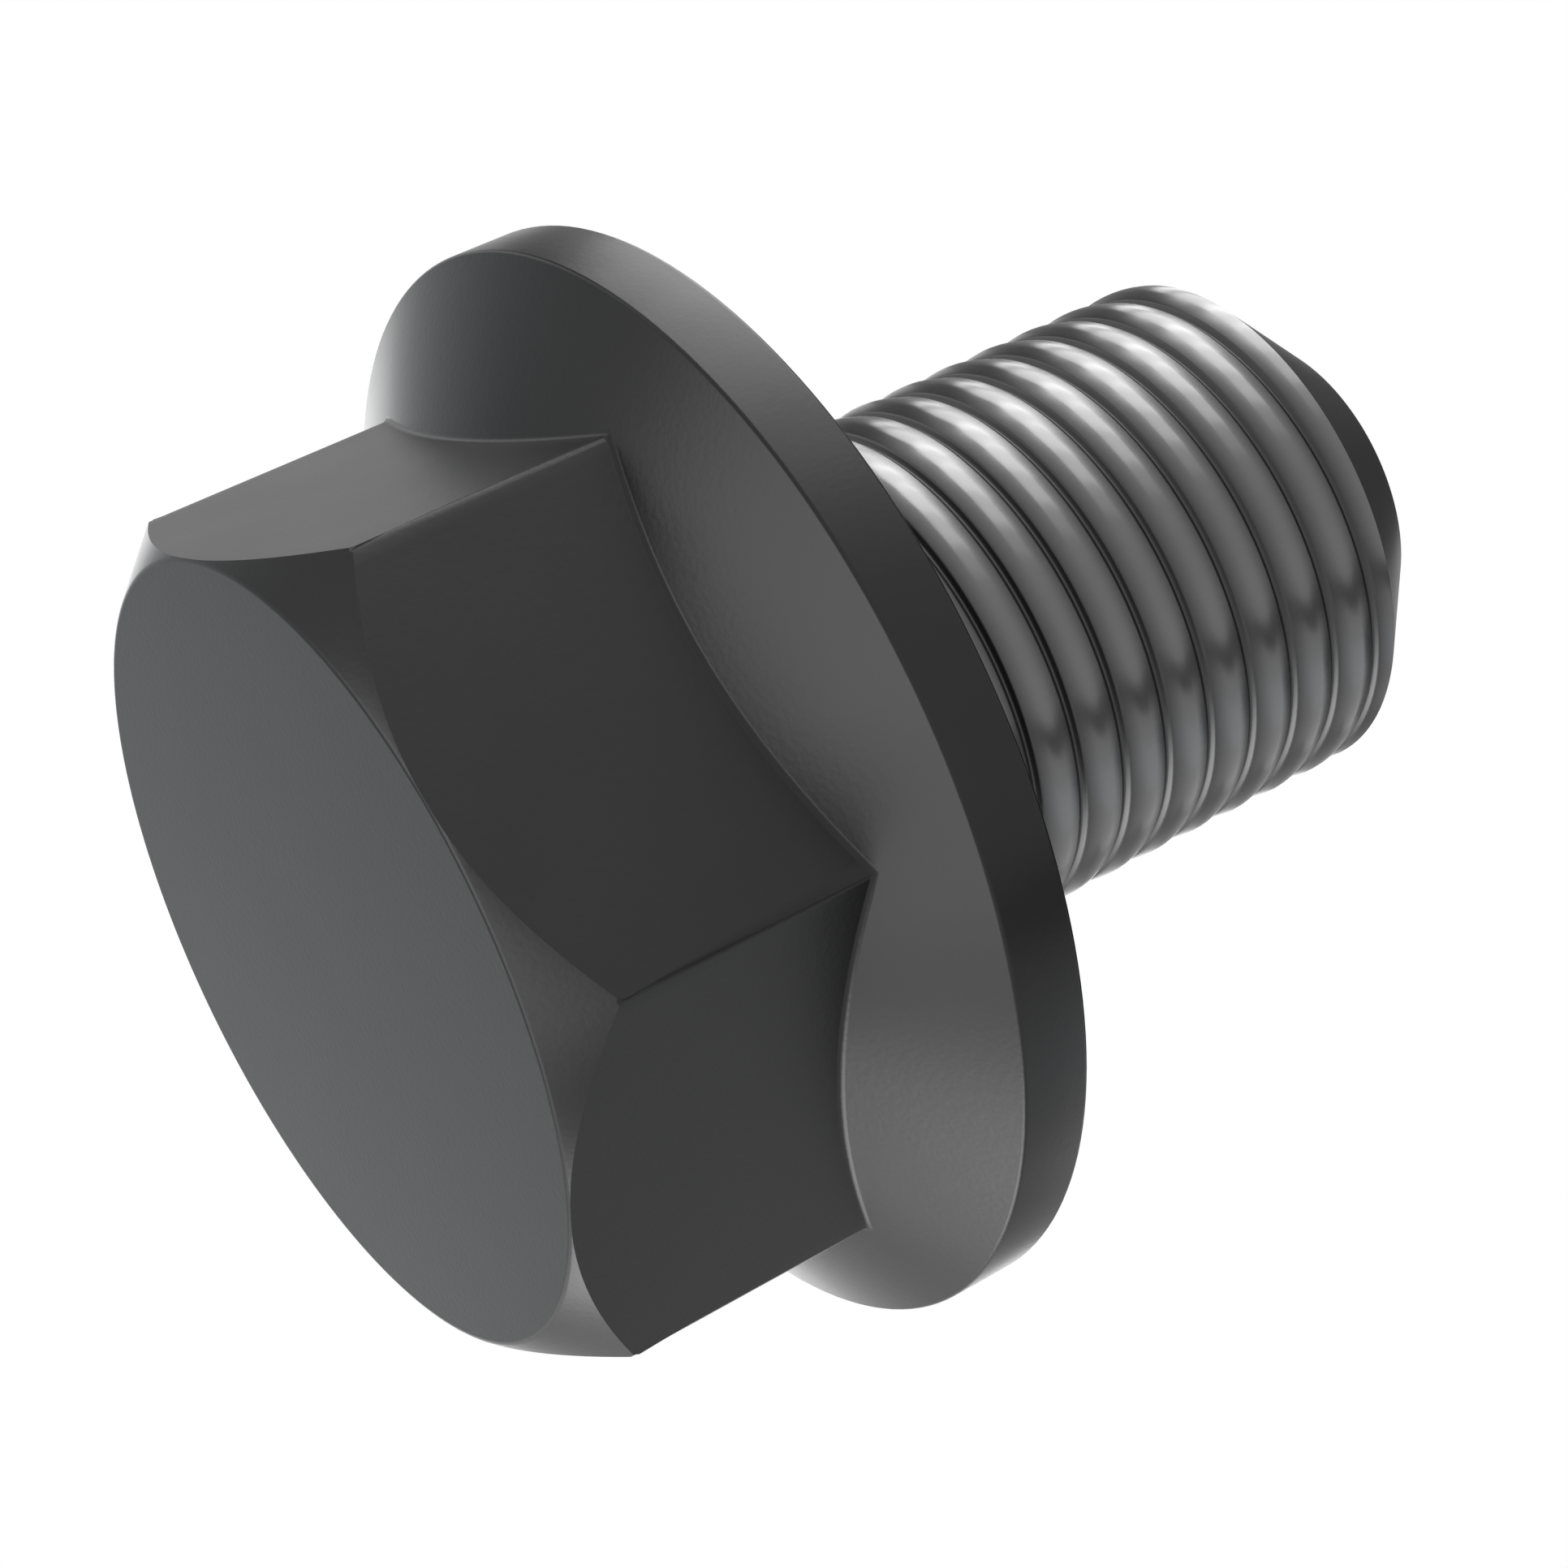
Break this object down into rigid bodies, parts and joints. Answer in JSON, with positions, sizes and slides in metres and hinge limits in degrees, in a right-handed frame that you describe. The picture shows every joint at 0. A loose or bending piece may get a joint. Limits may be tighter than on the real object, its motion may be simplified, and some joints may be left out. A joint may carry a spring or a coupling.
{
  "type": "hexagon flange screw",
  "caption": "Stubby hexagon-head screw with a conical flange and a fine metric thread up to its chamfered end, for clamping or plugging a tapped hole.",
  "frame": {"origin": "centre of the head's outer face, on which the screw stands", "axes": "+Z along the screw's axis, from the head towards the threaded end; +X through a corner of the hexagon"},
  "size_m": [0.0208, 0.0208, 0.0222],
  "materials": {
    "blackened_steel": "satin black-finished steel"
  },
  "bodies": {
    "root": {"flange_screw": "blackened_steel"}
  },
  "joints": []
}
